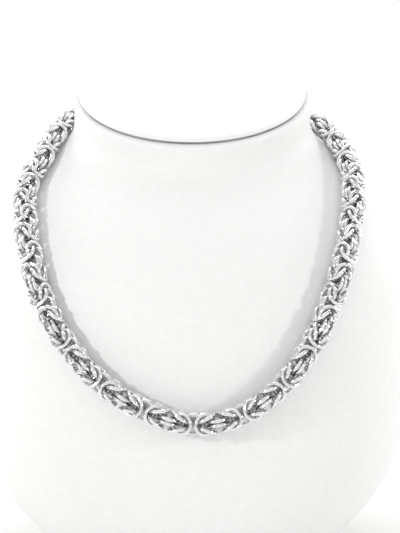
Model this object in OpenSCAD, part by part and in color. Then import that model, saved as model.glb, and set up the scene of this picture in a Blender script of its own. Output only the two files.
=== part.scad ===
// Byzantine chain necklace on a white neck bust.
// The bust stands on its flat base, z is up and -y is the front of the chest.
// The chain lies round the neck and over the chest, and closes in a clasp at the nape.

/* [Bust] */
// height of the bust at the sides of the neck rim
bust_height = 201; // [150:1:260]
// widest width of the chest
bust_width = 196; // [170:1:240]
// front of the chest to the back of the neck
bust_depth = 134; // [110:1:160]
// width of the neck at the rim
neck_width = 104; // [85:1:115]
// front of the chest to the front of the neck rim
neck_setback = 52; // [40:0.5:65]
// width of the flat base
base_width = 104; // [80:1:140]
// front of the chest to the front of the base
base_setback = 32; // [15:1:45]
// back of the neck to the back of the base
base_inset = 21.5; // [5:0.5:40]
// forward tilt of the neck rim
rim_tilt = 19.5; // [0:0.5:22]

/* [Top panel] */
// width of the rolled rim round the panel's socket
rim_width = 3.2; // [2:0.1:6]
// rounding of the rim's outer edge
rim_rounding = 1.4; // [0.5:0.1:1.8]
// depth of the panel's foot in its socket
foot_depth = 4; // [2:0.5:8]
// gap round the foot
foot_gap = 1; // [0.3:0.1:1.5]
// gap under the foot
foot_clearance = 0.2; // [0.1:0.05:0.5]
// how far the panel's plate reaches over the rim
plate_overhang = 1.2; // [0.2:0.1:1.5]
// thickness of the plate
plate_thickness = 1.5; // [1:0.1:4]
// rounding of the plate's upper edge
plate_rounding = 1; // [0.2:0.1:1]
// height of the seam between the rim and the plate
seam_height = 1.2; // [0.3:0.1:2]

/* [Chain] */
// wire diameter of the links
wire_diameter = 1.5; // [1:0.1:1.8]
// inner diameter of the links
link_inner_diameter = 6; // [4:0.1:7]
// how much the weave stands out beyond one link all round
weave_spread = 0.1; // [0:0.05:0.5]
// gap between the chain and the bust
chain_clearance = 0.4; // [0.2:0.1:1]

/* [Clasp] */
// length of the barrel clasp
clasp_length = 16; // [10:0.5:20]
// diameter of the barrel clasp
clasp_diameter = 7; // [5:0.5:9]
// rounding of the clasp's ends
clasp_rounding = 1.5; // [0.5:0.1:2]
// gap between the clasp and the chain's ends
clasp_gap = 0.1; // [0.1:0.05:0.5]

/* [Hidden] */

// Cross sections of the bust, from the base to the rim. The columns are shares:
// height of bust_height, width between the end width and bust_width,
// front of base_setback below the middle and of neck_setback above it, back of base_inset
HEIGHT = 0;
WIDTH = 1;
FRONT = 2;
BACK = 3;
bust_rows = [
    [0.000, 0.000, 1.000, 1.000],
    [0.049, 0.280, 0.540, 0.740],
    [0.107, 0.530, 0.250, 0.540],
    [0.185, 0.760, 0.080, 0.380],
    [0.293, 0.930, 0.010, 0.250],
    [0.410, 1.000, 0.000, 0.160],
    [0.527, 1.000, 0.064, 0.100],
    [0.634, 0.958, 0.192, 0.060],
    [0.717, 0.863, 0.331, 0.035],
    [0.780, 0.715, 0.513, 0.020],
    [0.834, 0.505, 0.706, 0.010],
    [0.878, 0.220, 0.877, 0.000],
    [0.917, 0.030, 0.978, 0.000],
    [0.950, 0.003, 1.000, 0.000],
    [1.000, 0.000, 1.000, 0.000]
];
// share of the height where the end width changes from the base's to the neck's
middle_height = 0.41;
// share of a section's depth where it is widest
widest_share = 0.58;
// share of the height from where the sections start to tilt
tilt_from = 0.6;
tilt_slope = tan(rim_tilt);

// Route of the chain from one end of the clasp to the other, as places on the bust:
// azimuth in degrees, where -90 is the front and 90 the nape, and share of bust_height
lowest_place = [-90, 0.4408];
nape_place = [90, 0.9205];
chain_route = [
    [60, 0.9166], [39, 0.9088], [20, 0.8961], [4, 0.8815], [-8.5, 0.8698],
    [-19, 0.8542], [-32, 0.8269], [-43.2, 0.7752], [-51.4, 0.7079], [-57.5, 0.6338],
    [-63.2, 0.5665], [-70.4, 0.5022], [-79.6, 0.4534], lowest_place, [-100.2, 0.4651],
    [-109.8, 0.5090], [-118, 0.5685], [-125, 0.6368], [-131.6, 0.7118], [-140, 0.7781],
    [-151, 0.8289], [-163.5, 0.8669], [-177.5, 0.8913], [-192, 0.9059], [-208, 0.9137],
    [-225, 0.9176], [-242, 0.9195]
];

bust_sides = 72;
bust_levels = 42;
rounding_steps = 3;
chain_sides = 10;
chain_rings = 78;
azimuth_step = 0.2;
height_step = 0.003;
route_step = 0.01;

link_outer_diameter = link_inner_diameter + 2 * wire_diameter;
chain_radius = link_outer_diameter / 2 + weave_spread;

// cubic through the rows of one column of the section table
function row_below(h, i = 0) =
    i >= len(bust_rows) - 2 || h < bust_rows[i + 1][HEIGHT] ? i : row_below(h, i + 1);
function rise(column, i) =
    let (
        low = max(i - 1, 0),
        high = min(i + 1, len(bust_rows) - 1)
    )
    (bust_rows[high][column] - bust_rows[low][column])
        / (bust_rows[high][HEIGHT] - bust_rows[low][HEIGHT]);
function share_at(column, h) =
    let (
        i = row_below(h),
        span = bust_rows[i + 1][HEIGHT] - bust_rows[i][HEIGHT],
        t = (h - bust_rows[i][HEIGHT]) / span
    )
    (2 * pow(t, 3) - 3 * pow(t, 2) + 1) * bust_rows[i][column]
        + (pow(t, 3) - 2 * pow(t, 2) + t) * span * rise(column, i)
        + (3 * pow(t, 2) - 2 * pow(t, 3)) * bust_rows[i + 1][column]
        + (pow(t, 3) - pow(t, 2)) * span * rise(column, i + 1);

// sizes of the section at a share of the height
function half_width(h) =
    let (end_width = h < middle_height ? base_width : neck_width)
    (end_width + (bust_width - end_width) * share_at(WIDTH, h)) / 2;
function front_y(h) =
    share_at(FRONT, h) * (h < middle_height ? base_setback : neck_setback);
function back_y(h) = bust_depth - base_inset * share_at(BACK, h);
function widest_y(h) = front_y(h) + (back_y(h) - front_y(h)) * widest_share;
function tilt_at(h) = tilt_slope * pow(max(h - tilt_from, 0) / (1 - tilt_from), 2);

// a point of the bust's skin, drawn inward by inset and raised by lift
function skin(azimuth, h, inset = 0, lift = 0) =
    let (
        middle = widest_y(h),
        reach = sin(azimuth) < 0 ? middle - front_y(h) : back_y(h) - middle,
        y = middle + (reach - inset) * sin(azimuth)
    )
    [
        (half_width(h) - inset) * cos(azimuth),
        y,
        h * bust_height + (y - middle) * tilt_at(h) + lift
    ];
function outward(azimuth, h) =
    let (
        around = skin(azimuth + azimuth_step, h) - skin(azimuth - azimuth_step, h),
        up = skin(azimuth, min(h + height_step, 1)) - skin(azimuth, h - height_step),
        normal = cross(around, up)
    )
    normal / norm(normal);

// the chain's centre above a place on the skin
function above_skin(place) =
    skin(place[0], place[1])
        + outward(place[0], place[1]) * (chain_radius + chain_clearance);
nape = above_skin(nape_place);
// puts the origin midway between the chain's front and its back
centre_y = -(nape[1] + above_skin(lowest_place)[1]) / 2;
end_reach = clasp_length / 2 + clasp_gap;
route_points = concat(
    [nape + [end_reach, 0, 0]],
    [for (place = chain_route) above_skin(place)],
    [nape - [end_reach, 0, 0]]
);
route_last = len(route_points) - 1;
function route_point(i) =
    i < 0 ? route_points[0] - [end_reach, 0, 0]
    : i > route_last ? route_points[route_last] + [end_reach, 0, 0]
    : route_points[i];
function route_at(s) =
    let (
        i = min(floor(s), route_last - 1),
        t = s - i,
        a = route_point(i - 1),
        b = route_point(i),
        c = route_point(i + 1),
        d = route_point(i + 2)
    )
    (2 * b + (c - a) * t + (2 * a - 5 * b + 4 * c - d) * pow(t, 2)
        + (3 * b - a - 3 * c + d) * pow(t, 3)) / 2;
function unit(v) = v / norm(v);
// direction of the route, which meets the clasp squarely
function route_tangent(s) =
    s <= 0 || s >= route_last ? [1, 0, 0]
    : unit(route_at(s + route_step) - route_at(s - route_step));

// centres a piece of the whole thing front to back on the origin
module centred() {
    translate([0, centre_y, 0])
        children();
}

// closed solid through rings of points, each ring counter-clockwise seen from its end
module loft(rings) {
    sides = len(rings[0]);
    last = len(rings) - 1;
    first_centre = [for (axis = [0 : 2]) mean([for (p = rings[0]) p[axis]])];
    last_centre = [for (axis = [0 : 2]) mean([for (p = rings[last]) p[axis]])];
    points = concat([for (ring = rings) each ring], [first_centre, last_centre]);
    hub = (last + 1) * sides;
    faces = concat(
        [for (i = [0 : last - 1], j = [0 : sides - 1])
            [i * sides + j, (i + 1) * sides + j, (i + 1) * sides + (j + 1) % sides]],
        [for (i = [0 : last - 1], j = [0 : sides - 1])
            [i * sides + j, (i + 1) * sides + (j + 1) % sides, i * sides + (j + 1) % sides]],
        [for (j = [0 : sides - 1]) [hub, j, (j + 1) % sides]],
        [for (j = [0 : sides - 1])
            [hub + 1, last * sides + (j + 1) % sides, last * sides + j]]
    );
    polyhedron(points, faces);
}
function mean(values) = values * [for (v = values) 1] / len(values);

// one level ring of the bust
function bust_ring(h, inset = 0, lift = 0) =
    [for (j = [0 : bust_sides - 1]) skin(360 * j / bust_sides, h, inset, lift)];
// rings that round an upper edge, from its outside to its top
function rounded_edge(inset, lift, radius) =
    [for (k = [1 : rounding_steps])
        let (angle = 90 * k / rounding_steps)
        bust_ring(1, inset + radius * (1 - cos(angle)), lift - radius * (1 - sin(angle)))];

module bust_body() {
    floor_lift = rim_rounding - foot_depth - foot_clearance;
    wall = [for (i = [0 : bust_levels]) bust_ring(i / bust_levels)];
    rim = rounded_edge(0, rim_rounding, rim_rounding);
    recess = [
        bust_ring(1, rim_width, rim_rounding),
        bust_ring(1, rim_width, floor_lift)
    ];
    color("white")
        centred()
            loft(concat(wall, rim, recess));
}

module top_panel() {
    foot_inset = rim_width + foot_gap;
    plate_inset = rim_width - plate_overhang;
    plate_lift = rim_rounding + seam_height;
    top_lift = plate_lift + plate_thickness;
    foot = [
        bust_ring(1, foot_inset, rim_rounding - foot_depth),
        bust_ring(1, foot_inset, plate_lift)
    ];
    edge = [
        bust_ring(1, plate_inset, plate_lift),
        bust_ring(1, plate_inset, top_lift - plate_rounding)
    ];
    color("whitesmoke")
        centred()
            loft(concat(foot, edge, rounded_edge(plate_inset, top_lift, plate_rounding)));
}

// outer form of the woven links, as one tube along the route
module chain() {
    rings = [for (k = [0 : chain_rings - 1])
        let (
            s = route_last * k / (chain_rings - 1),
            centre = route_at(s),
            tangent = route_tangent(s),
            side = unit(cross(tangent, [0, 0, 1])),
            up = cross(side, tangent)
        )
        [for (j = [0 : chain_sides - 1])
            let (angle = -360 * j / chain_sides)
            centre + chain_radius * (cos(angle) * side + sin(angle) * up)]];
    color("silver")
        centred()
            loft(rings);
}

// plain barrel that joins the chain's two ends
module clasp() {
    radius = clasp_diameter / 2;
    color("silver")
        centred()
            translate(nape - [clasp_length / 2, 0, 0])
                rotate([0, 90, 0])
                    rotate_extrude($fn = 48)
                        rounded_profile(radius, clasp_length, clasp_rounding);
}

// half section of a barrel whose two end edges are rounded
module rounded_profile(radius, length, rounding) {
    square([radius - rounding, length]);
    translate([0, rounding])
        square([radius, length - 2 * rounding]);
    for (level = [rounding, length - rounding])
        translate([radius - rounding, level])
            circle(r = rounding, $fn = 48);
}

bust_body();
top_panel();
chain();
clasp();
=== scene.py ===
# %% [markdown]
# # A byzantine chain on a white neck bust
#
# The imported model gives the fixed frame: a bust, its top panel, the chain's outer form
# and a clasp. This lesson dresses that frame. The chain becomes more than three hundred
# closed wire links that pass through each other, and the bust gets its grained cover.

# %% The frame
import math

import bmesh
import bpy
import numpy as np
from mathutils import Matrix, Vector
from mathutils.bvhtree import BVHTree


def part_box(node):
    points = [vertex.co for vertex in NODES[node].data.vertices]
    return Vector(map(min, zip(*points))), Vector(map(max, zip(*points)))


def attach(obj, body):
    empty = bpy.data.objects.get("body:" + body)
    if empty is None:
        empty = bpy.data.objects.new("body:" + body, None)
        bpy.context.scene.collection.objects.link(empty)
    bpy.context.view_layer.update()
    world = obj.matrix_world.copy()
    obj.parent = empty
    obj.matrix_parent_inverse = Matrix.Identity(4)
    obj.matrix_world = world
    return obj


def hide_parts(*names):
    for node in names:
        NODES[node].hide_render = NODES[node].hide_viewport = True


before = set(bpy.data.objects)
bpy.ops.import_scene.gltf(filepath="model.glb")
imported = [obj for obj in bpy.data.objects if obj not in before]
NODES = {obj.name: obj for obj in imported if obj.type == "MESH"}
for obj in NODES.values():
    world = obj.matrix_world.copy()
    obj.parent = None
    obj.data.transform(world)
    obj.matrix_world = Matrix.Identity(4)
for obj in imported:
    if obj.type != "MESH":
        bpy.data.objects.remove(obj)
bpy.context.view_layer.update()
MM = 0.001
print("nodes:", sorted(NODES))

# %% [markdown]
# ## Small helpers
#
# Every material below is a handful of nodes, so one function adds a node, sets its
# sockets and links it. Colours are written as the hex values that a paint chart gives,
# and turned to the linear numbers that the renderer works in. Every finished piece is
# one mesh at the origin that rides on the single body of this object.

# %% Helpers
MIX_A, MIX_B = 6, 7  # where a mix node has its two colour sockets


def linear(hex_colour):
    """An sRGB hex value as a linear RGBA colour."""
    channels = [int(hex_colour[i:i + 2], 16) / 255 for i in (1, 3, 5)]
    curve = [c / 12.92 if c <= 0.04045 else ((c + 0.055) / 1.055) ** 2.4 for c in channels]
    return (*curve, 1.0)


def add_node(tree, kind, settings=None, **sockets):
    """Adds a node. A socket's value is a number, a colour, or another node's output."""
    node = tree.nodes.new(kind)
    for name, value in (settings or {}).items():
        setattr(node, name, value)
    for name, value in sockets.items():
        socket = node.inputs[name.replace("_", " ")]
        if isinstance(value, bpy.types.NodeSocket):
            tree.links.new(value, socket)
        else:
            socket.default_value = value
    return node


def new_material(name):
    """A material and its node tree, with no nodes yet."""
    material = bpy.data.materials.new(name)
    material.use_nodes = True
    material.node_tree.nodes.clear()
    return material, material.node_tree


def finish_material(tree, shader):
    """Links the last shader to the material's output."""
    output = tree.nodes.new("ShaderNodeOutputMaterial")
    tree.links.new(shader.outputs[0], output.inputs["Surface"])


def make_piece(bm, name, material, replaced=()):
    """Turns a bmesh into a smooth-shaded piece that rides on the body."""
    mesh = bpy.data.meshes.new(name)
    bm.to_mesh(mesh)
    bm.free()
    mesh.materials.append(material)
    piece = bpy.data.objects.new(name, mesh)
    bpy.context.scene.collection.objects.link(piece)
    mesh.shade_smooth()
    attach(piece, "root")
    if replaced:
        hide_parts(*replaced)
    return piece


print("helpers ready")

# %% [markdown]
# ## The route of the chain
#
# In the frame the chain is a plain tube with ten corners round each ring. Its short
# edges run round a ring and its long edges run along the route, so joining the corners
# that share a short edge gives the rings back, and the middle of each ring is a point
# of the route. Reading it this way keeps the links exactly where the frame has the tube.

# %% Read the route from the frame
SHORT_EDGE = 3.6 * MM
WELD = 0.01 * MM
FEWEST_CORNERS = 5


def tube_centres(node):
    """The centre of every ring of corners of a tube."""
    bm = bmesh.new()
    bm.from_mesh(node.data)
    bmesh.ops.remove_doubles(bm, verts=bm.verts, dist=WELD)
    centres, seen = [], set()
    for vert in bm.verts:
        ring, queue = [], [vert]
        while queue:
            corner = queue.pop()
            if corner in seen:
                continue
            seen.add(corner)
            ring.append(corner.co.copy())
            queue += [e.other_vert(corner) for e in corner.link_edges
                      if e.calc_length() < SHORT_EDGE]
        if len(ring) >= FEWEST_CORNERS:
            centres.append(sum(ring, Vector()) / len(ring))
    bm.free()
    return centres


def in_order(points, start):
    """Walks from one end of the route to the other, nearest point first."""
    left = list(points)
    path = [min(left, key=lambda p: (p - start).length)]
    left.remove(path[0])
    while left:
        path.append(min(left, key=lambda p: (p - path[-1]).length))
        left.remove(path[-1])
    return path


clasp_low, clasp_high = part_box("clasp")
clasp_middle = (clasp_low + clasp_high) / 2
clasp_right = Vector((clasp_high.x, clasp_middle.y, clasp_middle.z))
route = np.array(in_order(tube_centres(NODES["chain"]), clasp_right))
steps = np.linalg.norm(np.diff(route, axis=0), axis=1)
route_distance = np.concatenate([[0], np.cumsum(steps)])
print(len(route), "route points,", round(route_distance[-1] / MM), "mm of chain")

# %% [markdown]
# ## The directions along the route
#
# A woven chain keeps the same side up all the way round, so every place on the route
# needs three directions: along the chain, away from the bust, and across. The way away
# from the bust comes from the nearest place on the bust's surface.

# %% Directions along the route
LOOK_AHEAD = 0.5 * MM
FINE_PLACES = 5001


def surface_tree(node):
    """A search tree over a node's surface, for the nearest place to a point."""
    bm = bmesh.new()
    bm.from_mesh(node.data)
    tree = BVHTree.FromBMesh(bm)
    bm.free()
    return tree


bust_surface = surface_tree(NODES["bust_body"])


def unit(vectors):
    """The same directions, each one long."""
    return vectors / np.linalg.norm(vectors, axis=-1, keepdims=True)


def along_route(distance):
    """Points of a smooth curve through the route, at distances from its first end."""
    slope = np.gradient(route, route_distance, axis=0)
    i = np.clip(np.searchsorted(route_distance, distance, side="right") - 1, 0, len(route) - 2)
    span = (route_distance[i + 1] - route_distance[i])[:, None]
    t = (distance - route_distance[i])[:, None] / span
    return ((2 * t**3 - 3 * t**2 + 1) * route[i] + (t**3 - 2 * t**2 + t) * span * slope[i]
            + (3 * t**2 - 2 * t**3) * route[i + 1] + (t**3 - t**2) * span * slope[i + 1])


def directions(distance):
    """Point, along, across and away-from-the-bust directions at each distance."""
    point = along_route(distance)
    ahead = along_route(distance + LOOK_AHEAD) - along_route(distance - LOOK_AHEAD)
    along = unit(ahead)
    skin = np.array([bust_surface.find_nearest(Vector(p))[0] for p in point])
    away = point - skin
    away = unit(away - (away * along).sum(1, keepdims=True) * along)
    return point, along, np.cross(along, away), away


fine = np.linspace(0, route_distance[-1], FINE_PLACES)
front = along_route(fine)
chest_middle = fine[np.where(front[:, 1] < front[:, 1].mean(), np.abs(front[:, 0]), 1).argmin()]
chest_point = Vector(along_route(np.array([chest_middle]))[0])
print("chest middle", round(chest_middle / MM, 1), "mm along, at",
      [round(x / MM, 1) for x in chest_point], "mm")

# %% [markdown]
# ## How this chain lies
#
# A laid chain is never quite even. Its units are pushed together or drawn apart by a
# millimetre or two, and it rolls a little as it turns round the chest. The big round
# arcs of the weave show both in the photograph, so a short table holds what they give:
# millimetres from the middle of the chest, slide along the route, and roll.

# %% Slide and roll along the chain
LAY = np.array([
    (-246, 0.0, 0), (-190, 1.0, 12), (-140, 1.9, 20), (-109, 2.3, 16), (-88, 1.5, 8),
    (-70, 0.4, 2), (-53, -0.4, -8), (-36, -0.7, -14), (-11, -0.1, -12), (0, 0.0, -5),
    (31, 0.4, -5), (49, 0.8, -12), (66, 0.9, -8), (84, 0.9, 0), (104, 0.9, 12),
    (128, 1.6, 14), (157, 2.8, 16), (190, 2.2, 8), (246, 0.0, 0),
])


def lay_at(distance):
    """Slide in metres and roll in radians at each distance."""
    from_middle = (distance - chest_middle) / MM
    slide, roll = (np.interp(from_middle, LAY[:, 0], LAY[:, column]) for column in (1, 2))
    return slide * MM, np.radians(roll)


print("slides of", LAY[:, 1].min(), "to", LAY[:, 1].max(), "mm; rolls of",
      LAY[:, 2].min(), "to", LAY[:, 2].max(), "degrees")

# %% [markdown]
# ## The byzantine weave
#
# The real chain is made of round wire rings in pairs. One unit of the weave is a pair
# of connector rings, a pair that is folded back over the next connectors, and a pair
# that opens like a V and holds them from outside. The next unit is the same, turned a
# quarter round the chain, so the pattern repeats every two units. The wire's thickness
# sets everything else, so all places are written in wire thicknesses.

# %% Places of the links
WIRE = 1.5 * MM
INNER = 6.0 * MM
RING_RADIUS = (INNER + WIRE) / 2
UNIT = 6.4 * WIRE
KNOT_SHIFT = 0.269
KNOT_SPREAD = 1.484
KNOT_LEAN = math.radians(21.8)
CONNECTOR_SPACING = 1.11
FIRST_CONNECTOR = 0.7 * MM


def connector_distances():
    """Distances of the connectors, with one pair in the middle of the chest."""
    ends = RING_RADIUS + WIRE / 2
    lowest = chest_middle - FIRST_CONNECTOR
    last = route_distance[-1] - ends
    before, after = round((lowest - ends) / UNIT), round((last - lowest) / UNIT)
    even = np.concatenate([np.linspace(ends, lowest, before + 1),
                           np.linspace(lowest, last, after + 1)[1:]])
    return even + lay_at(even)[0], before


def weave_places():
    """Distance along, offset and facing of every link, in the route's directions."""
    connectors, middle = connector_distances()
    rows = []
    for j, place in enumerate(connectors):
        first = (j - middle + 1) % 2
        for side in (1, -1):
            offset = [0, 0]
            offset[first] = side * CONNECTOR_SPACING / 2 * WIRE
            facing = [0, 0, 0]
            facing[1 + first] = 1
            rows.append((place, *offset, *facing))
        if place == connectors[-1]:
            break
        knot = (place + connectors[j + 1]) / 2
        for axis, shift, lean in ((1 - first, KNOT_SHIFT, -1), (first, -KNOT_SHIFT, 1)):
            for side in (1, -1):
                offset = [0, 0]
                offset[axis] = side * KNOT_SPREAD * WIRE
                facing = [lean * side * math.sin(KNOT_LEAN), 0, 0]
                facing[1 + axis] = math.cos(KNOT_LEAN)
                rows.append((knot + shift * WIRE, *offset, *facing))
    return np.array(rows), connectors


places, connectors = weave_places()
point, along, level, up = directions(places[:, 0])
roll = lay_at(places[:, :1])[1]
across = np.cos(roll) * level + np.sin(roll) * up
away = np.cos(roll) * up - np.sin(roll) * level
centres = point + places[:, 1:2] * across + places[:, 2:3] * away
facings = unit(places[:, 3:4] * along + places[:, 4:5] * across + places[:, 5:6] * away)
gaps = np.diff(connectors) / MM
print(len(centres), "links in", len(gaps), "units of", round(gaps.min(), 2), "to",
      round(gaps.max(), 2), "mm")

# %% [markdown]
# ## Letting the links settle
#
# Where the chain bends, links on the inside of the bend come closer together, and the
# straight pattern would push wire into wire. Real links slide until they only touch.
# Here each pair that is too close is pushed apart at its nearest places, a little at a
# time, and no link may sink into the bust.

# %% Settle the links
REST_GAP = 1.02 * WIRE
SKIN_GAP = 0.6 * WIRE
LOOK_POINTS = 48
SETTLE_STEPS = 120
STEPS_PER_SEARCH = 10
PUSH_SHARE = 0.35
TURN_RESISTANCE = 0.6 * RING_RADIUS**2  # a thin ring's is 0.5 to 1 times that square
NEARLY_X = 0.9
turns = np.linspace(0, 2 * math.pi, LOOK_POINTS, endpoint=False)


def ring_points(centre, facing):
    """Points round the middle of each link's wire."""
    helper = np.where(np.abs(facing[:, :1]) < NEARLY_X, [[1.0, 0, 0]], [[0, 1.0, 0]])
    first = unit(np.cross(facing, helper))
    second = np.cross(facing, first)
    return (centre[:, None] + RING_RADIUS * (np.cos(turns)[None, :, None] * first[:, None]
            + np.sin(turns)[None, :, None] * second[:, None]))


def nearest_places(points, centre, facing):
    """For rows of points, the nearest place on each row's ring."""
    to_point = points - centre[:, None]
    height = np.einsum("ijk,ik->ij", to_point, facing)
    flat = to_point - height[..., None] * facing[:, None]
    return centre[:, None] + RING_RADIUS * unit(flat)


def close_pairs(centre):
    """The links that are near enough to touch, as two lists."""
    distance = np.linalg.norm(centre[:, None] - centre[None], axis=2)
    return np.argwhere(distance < 2 * RING_RADIUS + REST_GAP).T


def settle(centre, facing):
    """Pushes links apart until no two come nearer than the rest gap."""
    skin = np.array([bust_surface.find_nearest(Vector(p))[0] for p in centre])
    out = unit(centre - skin)
    for step in range(SETTLE_STEPS):
        if step % STEPS_PER_SEARCH == 0:
            one, other = close_pairs(centre)
            keep = one != other
            one, other = one[keep], other[keep]
        points = ring_points(centre, facing)[one]
        near = nearest_places(points, centre[other], facing[other])
        apart = points - near
        distance = np.linalg.norm(apart, axis=2)
        row = np.arange(len(one))
        at = distance.argmin(1)
        closest = distance[row, at].min()
        overlap = np.maximum(REST_GAP - distance[row, at], 0)
        push = apart[row, at] / distance[row, at][:, None]
        arm_one = points[row, at] - centre[one]
        arm_other = near[row, at] - centre[other]
        turn_one, turn_other = np.cross(arm_one, push), np.cross(arm_other, push)
        ease = 2 + ((turn_one**2).sum(1) + (turn_other**2).sum(1)) / TURN_RESISTANCE
        amount = (PUSH_SHARE * overlap / ease)[:, None]
        move, turn = np.zeros_like(centre), np.zeros_like(facing)
        np.add.at(move, one, amount * push)
        np.add.at(move, other, -amount * push)
        np.add.at(turn, one, amount * turn_one / TURN_RESISTANCE)
        np.add.at(turn, other, -amount * turn_other / TURN_RESISTANCE)
        centre = centre + move
        facing = unit(facing + np.cross(turn, facing))
        reach = RING_RADIUS * np.sqrt(np.maximum(1 - (facing * out).sum(1)**2, 0))
        height = ((centre - skin) * out).sum(1) - reach
        centre = centre + np.maximum(SKIN_GAP - height, 0)[:, None] * out
    return centre, facing, closest


settled, settled_facings, closest = settle(centres, facings)
moved = np.linalg.norm(settled - centres, axis=1).max()
print("closest wires", round(closest / MM, 3), "mm between middles; largest move",
      round(moved / MM, 2), "mm")

# %% [markdown]
# ## One wire link
#
# A link starts as the round section of the wire. Spinning that section once round the
# link's middle gives a closed ring, as bending wire round a rod does. Hundreds of links
# are made, so each has only twelve steps round and six sides, and smooth shading rounds
# them. The corners of such a ring lie a little outside the true circle, so that its
# sides and its corners together keep the real size.

# %% Model one link
LINK_STEPS = 12
WIRE_SIDES = 6


def corner_radius(radius, corners):
    """How far out the corners lie, so that the outline is as far out as the circle on average."""
    half = math.pi / corners
    return radius * half / math.sin(half)


def wire_link():
    """One closed link round the z axis, as a mesh."""
    bm = bmesh.new()
    section = bmesh.ops.create_circle(bm, segments=WIRE_SIDES,
                                      radius=corner_radius(WIRE / 2, WIRE_SIDES))["verts"]
    place = (corner_radius(RING_RADIUS, LINK_STEPS), 0, 0)
    upright = Matrix.Translation(place) @ Matrix.Rotation(math.pi / 2, 4, "X")
    bmesh.ops.transform(bm, matrix=upright, verts=section)
    bmesh.ops.spin(bm, geom=bm.verts[:] + bm.edges[:], cent=(0, 0, 0), axis=(0, 0, 1),
                   angle=2 * math.pi, steps=LINK_STEPS, use_merge=True)
    bmesh.ops.recalc_face_normals(bm, faces=bm.faces)
    mesh = bpy.data.meshes.new("wire_link")
    bm.to_mesh(mesh)
    bm.free()
    return mesh


link_mesh = wire_link()
print("one link:", len(link_mesh.polygons), "faces")

# %% [markdown]
# ## Polished silver wire
#
# The links are polished sterling silver. A polished metal has almost no colour of its
# own: it shows bright stripes where it reflects a lamp and dark ones where it reflects
# the room or the next link. Fine drawing marks and handling leave it slightly less than
# mirror bright, so a fine noise varies the roughness a little. Deep in the weave the
# colour is painted grey, as painted shade between the links. The links carry a number
# named gap for that, 0 on the outside of the chain and 1 deep inside it.

# %% Silver material
# The second colour is painted shade: the grey of the links deep in the weave.
SILVER, GAP_PAINTED_SHADE = "#F4F4F5", "#ABACAE"
MARK_SIZE = 0.35 * MM
MARK_DETAIL = 2.0
MARKS_FAINT, MARKS_STRONG = 0.3, 0.7
ROUGH_LEAST, ROUGH_MOST = 0.03, 0.1


def polished_silver():
    """Polished silver with painted shade, grey where the mesh says gap."""
    material, tree = new_material("polished_sterling_silver")
    place = add_node(tree, "ShaderNodeTexCoord")
    marks = add_node(tree, "ShaderNodeTexNoise", Vector=place.outputs["Object"],
                     Scale=1 / MARK_SIZE, Detail=MARK_DETAIL)
    rough = add_node(tree, "ShaderNodeMapRange", Value=marks.outputs["Fac"],
                     From_Min=MARKS_FAINT, From_Max=MARKS_STRONG,
                     To_Min=ROUGH_LEAST, To_Max=ROUGH_MOST)
    # Painted shade: the gap number mixes in the grey deep in the weave.
    gap = add_node(tree, "ShaderNodeAttribute", {"attribute_name": "gap"})
    colour = add_node(tree, "ShaderNodeMix", {"data_type": "RGBA"})
    tree.links.new(gap.outputs["Fac"], colour.inputs["Factor"])
    colour.inputs[MIX_A].default_value = linear(SILVER)
    colour.inputs[MIX_B].default_value = linear(GAP_PAINTED_SHADE)
    shader = add_node(tree, "ShaderNodeBsdfPrincipled", Base_Color=colour.outputs[2],
                      Metallic=1.0, Roughness=rough.outputs["Result"])
    finish_material(tree, shader)
    return material


silver = polished_silver()
print("material:", silver.name)

# %% [markdown]
# ## The whole chain
#
# Each settled place gives a turn and a shift for one copy of the link. All copies are
# gathered in one mesh, which stands for the tube of the frame. How far a corner lies from
# the middle of the chain says how deep in a gap it is, and so how much painted shade it gets.

# %% Build the chain
# Painted shade is full within GAP_DEEP of the middle of the chain and gone at GAP_END.
GAP_DEEP, GAP_END = 1.4 * MM, 4.4 * MM  # distances from the middle of the chain


def mark_gaps(corners, layer, on_route, ahead):
    """Writes how deep in the weave each corner of a link lies, which sets its painted shade."""
    for corner in corners:
        off = corner.co - on_route
        off -= off.dot(ahead) * ahead
        corner[layer] = min(max((GAP_END - off.length) / (GAP_END - GAP_DEEP), 0), 1)


def build_chain(centre, facing):
    """One copy of the link at every settled place, in one mesh."""
    bm = bmesh.new()
    layer = bm.verts.layers.float.new("gap")
    count = len(link_mesh.vertices)
    for middle, normal, on_route, ahead in zip(centre, facing, point, along):
        bm.from_mesh(link_mesh)
        bm.verts.ensure_lookup_table()
        corners = bm.verts[-count:]
        turn = Vector(normal).to_track_quat("Z", "Y").to_matrix().to_4x4()
        bmesh.ops.transform(bm, matrix=Matrix.Translation(middle) @ turn, verts=corners)
        mark_gaps(corners, layer, Vector(on_route), Vector(ahead))
    return make_piece(bm, "chain_links", silver, ["chain"])


chain = build_chain(settled, settled_facings)
print("chain:", len(chain.data.polygons), "faces")

# %% [markdown]
# ## White leatherette
#
# The bust is covered in white leatherette: a vinyl skin on cloth with a fine pressed
# grain. The grain's cells are about half a millimetre to one millimetre wide. They
# barely change the colour and mostly break up the soft highlight. A slow noise adds the
# faint unevenness of a padded form. Both are heights of a bump, because the grain is far
# finer than any edge of the mesh.

# %% Leatherette material
LEATHERETTE, LEATHERETTE_WORN = "#F1F1F0", "#EEEEED"
GRAIN_SIZE = 0.9 * MM
GRAIN_SHARE = 0.5
PATCH_SIZE = 3.0 * MM
PATCH_DETAIL, PATCH_ROUGHNESS = 4.0, 0.6
PATCH_LOW, PATCH_HIGH = 0.35, 0.65
BUMP_STRENGTH = 0.5
COVER_GRAIN_DEPTH, PANEL_GRAIN_DEPTH = 0.12 * MM, 0.08 * MM
VINYL_ROUGHNESS = 0.55
VINYL_IOR = 1.5


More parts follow.
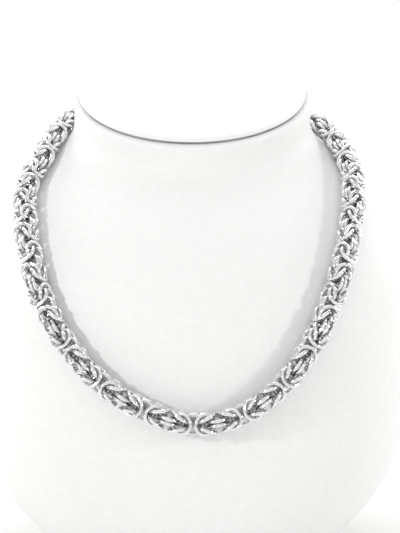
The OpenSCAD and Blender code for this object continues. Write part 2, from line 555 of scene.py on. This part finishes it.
def white_leatherette(name, grain_depth):
    """White vinyl with a pressed grain of the given depth."""
    material, tree = new_material(name)
    place = add_node(tree, "ShaderNodeTexCoord").outputs["Object"]
    grain = add_node(tree, "ShaderNodeTexVoronoi", {"feature": "DISTANCE_TO_EDGE"},
                     Vector=place, Scale=1 / GRAIN_SIZE)
    folds = add_node(tree, "ShaderNodeTexNoise", Vector=place, Scale=1 / PATCH_SIZE,
                     Detail=PATCH_DETAIL, Roughness=PATCH_ROUGHNESS)
    height = add_node(tree, "ShaderNodeMath", {"operation": "MULTIPLY_ADD"})
    tree.links.new(grain.outputs["Distance"], height.inputs[0])
    height.inputs[1].default_value = GRAIN_SHARE
    tree.links.new(folds.outputs["Fac"], height.inputs[2])
    bump = add_node(tree, "ShaderNodeBump", Strength=BUMP_STRENGTH, Distance=grain_depth,
                    Height=height.outputs[0])
    patch = add_node(tree, "ShaderNodeMapRange", Value=folds.outputs["Fac"],
                     From_Min=PATCH_LOW, From_Max=PATCH_HIGH)
    colour = add_node(tree, "ShaderNodeMix", {"data_type": "RGBA"})
    tree.links.new(patch.outputs["Result"], colour.inputs["Factor"])
    colour.inputs[MIX_A].default_value = linear(LEATHERETTE_WORN)
    colour.inputs[MIX_B].default_value = linear(LEATHERETTE)
    shader = add_node(tree, "ShaderNodeBsdfPrincipled", Base_Color=colour.outputs[2],
                      Roughness=VINYL_ROUGHNESS, IOR=VINYL_IOR,
                      Normal=bump.outputs["Normal"])
    finish_material(tree, shader)
    return material


leatherette = white_leatherette("white_leatherette", COVER_GRAIN_DEPTH)
panel_leatherette = white_leatherette("white_panel_leatherette", PANEL_GRAIN_DEPTH)
print("materials:", leatherette.name, panel_leatherette.name)

# %% [markdown]
# ## The bust
#
# The frame's bust is right in shape but made of loose flat triangles. A merged copy with
# its triangles joined to quads takes a subdivision surface, which makes it as smooth as
# a padded cover, and creases keep the edge of the base and the seam sharp.

# %% Build the bust and its top panel
CREASE_ANGLE = math.radians(50)
FLAT_ENOUGH, SQUARE_ENOUGH = 0.3, 0.9  # radians


def smooth_copy(node, name, material):
    """A merged, subdivided copy of a CAD node."""
    bm = bmesh.new()
    bm.from_mesh(NODES[node].data)
    bmesh.ops.remove_doubles(bm, verts=bm.verts, dist=WELD)
    bmesh.ops.join_triangles(bm, faces=bm.faces, angle_face_threshold=FLAT_ENOUGH,
                             angle_shape_threshold=SQUARE_ENOUGH)
    crease = bm.edges.layers.float.new("crease_edge")
    for edge in bm.edges:
        if edge.is_manifold and edge.calc_face_angle() > CREASE_ANGLE:
            edge[crease] = 1.0
    piece = make_piece(bm, name, material, [node])
    smooth = piece.modifiers.new("smooth", "SUBSURF")
    smooth.levels = smooth.render_levels = 1
    return piece


bust = smooth_copy("bust_body", "bust_cover", leatherette)
panel = smooth_copy("top_panel", "neck_panel", panel_leatherette)
print("bust and panel:", len(bust.data.polygons), "and", len(panel.data.polygons),
      "faces before smoothing")

# %% [markdown]
# ## The clasp
#
# The clasp hides behind the neck, so it is a plain polished barrel of the same silver.
# A lathe would turn it from a rod: here a straight cylinder has its two end edges rounded
# by a bevel, and is then laid along the chain.

# %% Build the clasp
CLASP_SEGMENTS = 48
CLASP_ROUNDING = 1.4 * MM
ROUNDING_STEPS = 5
RIM_ANGLE = 1.0  # radians, far above the angle between two sides


def build_clasp():
    """A cylinder with rounded ends in the place of the frame's clasp."""
    low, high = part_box("clasp")
    length, radius = high.x - low.x, (high.z - low.z) / 2
    bm = bmesh.new()
    bmesh.ops.create_cone(bm, cap_ends=True, segments=CLASP_SEGMENTS, radius1=radius,
                          radius2=radius, depth=length)
    rims = [e for e in bm.edges if e.calc_face_angle() > RIM_ANGLE]
    bmesh.ops.bevel(bm, geom=rims, offset=CLASP_ROUNDING, segments=ROUNDING_STEPS,
                    profile=0.5, affect="EDGES", material=-1)
    lay = Matrix.Translation((low + high) / 2) @ Matrix.Rotation(math.pi / 2, 4, "Y")
    bmesh.ops.transform(bm, matrix=lay, verts=bm.verts)
    return make_piece(bm, "clasp_barrel", silver, ["clasp"])


clasp = build_clasp()
print("clasp:", len(clasp.data.polygons), "faces")

# %% [markdown]
# ## Floor
#
# The photograph is a bright studio one on white paper, so the floor is a sheet of paper
# that curves up behind the bust and hides the corner between floor and wall. Matt paper
# has almost no shine, so it shows only the soft shadow of what stands on it.

# %% Floor
FLOOR = "#E9E9E8"
FLOOR_REACH, SWEEP_START, SWEEP_RADIUS, SWEEP_TOP = 3.0, 0.9, 0.4, 1.8
SWEEP_STEPS = 16
PAPER_ROUGHNESS = 0.9


def paper_sweep():
    """A floor that curves up into a back wall."""
    bm = bmesh.new()
    bmesh.ops.create_grid(bm, x_segments=1, y_segments=1, size=FLOOR_REACH)
    back = [e for e in bm.edges if min(v.co.y for v in e.verts) > FLOOR_REACH / 2]
    for vert in back[0].verts:
        vert.co.y = SWEEP_START
    curve = bmesh.ops.spin(bm, geom=back, cent=(0, SWEEP_START, SWEEP_RADIUS), axis=(1, 0, 0),
                           angle=math.pi / 2, steps=SWEEP_STEPS)["geom_last"]
    last = [e for e in curve if isinstance(e, bmesh.types.BMEdge)]
    wall = bmesh.ops.extrude_edge_only(bm, edges=last)["geom"]
    for vert in [v for v in wall if isinstance(v, bmesh.types.BMVert)]:
        vert.co.z = SWEEP_TOP
    mesh = bpy.data.meshes.new("paper_sweep")
    bm.to_mesh(mesh)
    bm.free()
    mesh.shade_smooth()
    return mesh


paper, paper_tree = new_material("white_paper")
finish_material(paper_tree, add_node(paper_tree, "ShaderNodeBsdfPrincipled",
                                     Base_Color=linear(FLOOR), Roughness=PAPER_ROUGHNESS))
sweep = bpy.data.objects.new("paper_sweep", paper_sweep())
sweep.data.materials.append(paper)
bpy.context.scene.collection.objects.link(sweep)
print("floor ready")

# %% [markdown]
# ## Light
#
# The room itself glows, most of all from in front and above, which gives the white cover
# its even grey. Two small windows in front cast the chain's narrow shadows on the chest
# and put bright spots on the wire. Two soft lamps behind brighten the bust's flanks and
# the paper, and one wide lamp keeps the paper behind the neck white.

# %% Lights
scene = bpy.context.scene
scene.view_settings.view_transform = "Standard"


def soft_light(name, place, target, size, watts):
    """A square lamp that faces its target."""
    data = bpy.data.lights.new(name, "AREA")
    data.shape = "SQUARE"
    data.size = size
    data.energy = watts
    lamp = bpy.data.objects.new(name, data)
    lamp.location = place
    lamp.rotation_euler = (Vector(target) - Vector(place)).to_track_quat("-Z", "Y").to_euler()
    scene.collection.objects.link(lamp)


def studio_world():
    """A room that glows most of all from in front and above, and little from behind."""
    world = bpy.data.worlds.new("studio")
    world.use_nodes = True
    tree = world.node_tree
    tree.nodes.clear()
    way = add_node(tree, "ShaderNodeTexCoord")
    facing = add_node(tree, "ShaderNodeVectorMath", {"operation": "DOT_PRODUCT"})
    tree.links.new(way.outputs["Generated"], facing.inputs[0])
    facing.inputs[1].default_value = BRIGHTEST_WAY
    glow = add_node(tree, "ShaderNodeMapRange", Value=facing.outputs["Value"],
                    To_Min=ROOM_DARK, To_Max=ROOM_BRIGHT)
    sky = add_node(tree, "ShaderNodeBackground", Color=linear("#FFFFFF"),
                   Strength=glow.outputs["Result"])
    output = add_node(tree, "ShaderNodeOutputWorld")
    tree.links.new(sky.outputs[0], output.inputs["Surface"])
    return world


BRIGHTEST_WAY = Vector((0, -1, 1)).normalized()
ROOM_DARK, ROOM_BRIGHT = 0.24, 0.86
BUST, PAPER = (0, -0.05, 0.12), (0, 0.95, 0)
LAMPS = [  # name, place, what it faces, size in metres, watts
    ("left_window", (-0.74, -0.62, 0.5), BUST, 0.08, 3.2),
    ("right_window", (0.9, -0.42, 0.4), BUST, 0.1, 2.3),
    ("left_rear", (-0.814, 0.42, 0.462), BUST, 0.4, 3.1),
    ("right_rear", (0.814, 0.42, 0.462), BUST, 0.4, 2.6),
    ("paper_light", (0, 0.75, 1.2), PAPER, 1.1, 6.5),
]
for lamp_row in LAMPS:
    soft_light(*lamp_row)
scene.world = studio_world()
print(len(LAMPS), "lamps and a glowing room")

# %% [markdown]
# ## Camera
#
# The camera looks down a little from less than half a metre. The place where the chain
# crosses the middle of the chest is known both in the model and in the photograph, so
# the camera is placed from it: that point of the route falls on its own pixel. Blender
# fits the sensor's width to the longer side of a picture, which is the height here.

# %% Camera
SENSOR_WIDTH = 36  # millimetres
IMAGE_WIDTH, IMAGE_HEIGHT = 400, 533
FOCAL_PIXELS = 1150
CAMERA_DISTANCE = 436 * MM
CAMERA_TILT = math.radians(15)
CHEST_POINT_PIXEL = (191, 424)

forward = Vector((0, math.cos(CAMERA_TILT), -math.sin(CAMERA_TILT)))
upward = Vector((0, math.sin(CAMERA_TILT), math.cos(CAMERA_TILT)))
rightward = Vector((1, 0, 0))
to_right = (CHEST_POINT_PIXEL[0] - IMAGE_WIDTH / 2) / FOCAL_PIXELS * CAMERA_DISTANCE
to_top = -(CHEST_POINT_PIXEL[1] - IMAGE_HEIGHT / 2) / FOCAL_PIXELS * CAMERA_DISTANCE

camera_data = bpy.data.cameras.new("camera")
camera_data.sensor_width = SENSOR_WIDTH
camera_data.lens = FOCAL_PIXELS / IMAGE_HEIGHT * SENSOR_WIDTH
camera = bpy.data.objects.new("camera", camera_data)
camera.location = chest_point - forward * CAMERA_DISTANCE - rightward * to_right - upward * to_top
camera.rotation_euler = forward.to_track_quat("-Z", "Y").to_euler()
scene.collection.objects.link(camera)
scene.camera = camera
print("camera at", [round(x, 3) for x in camera.location])
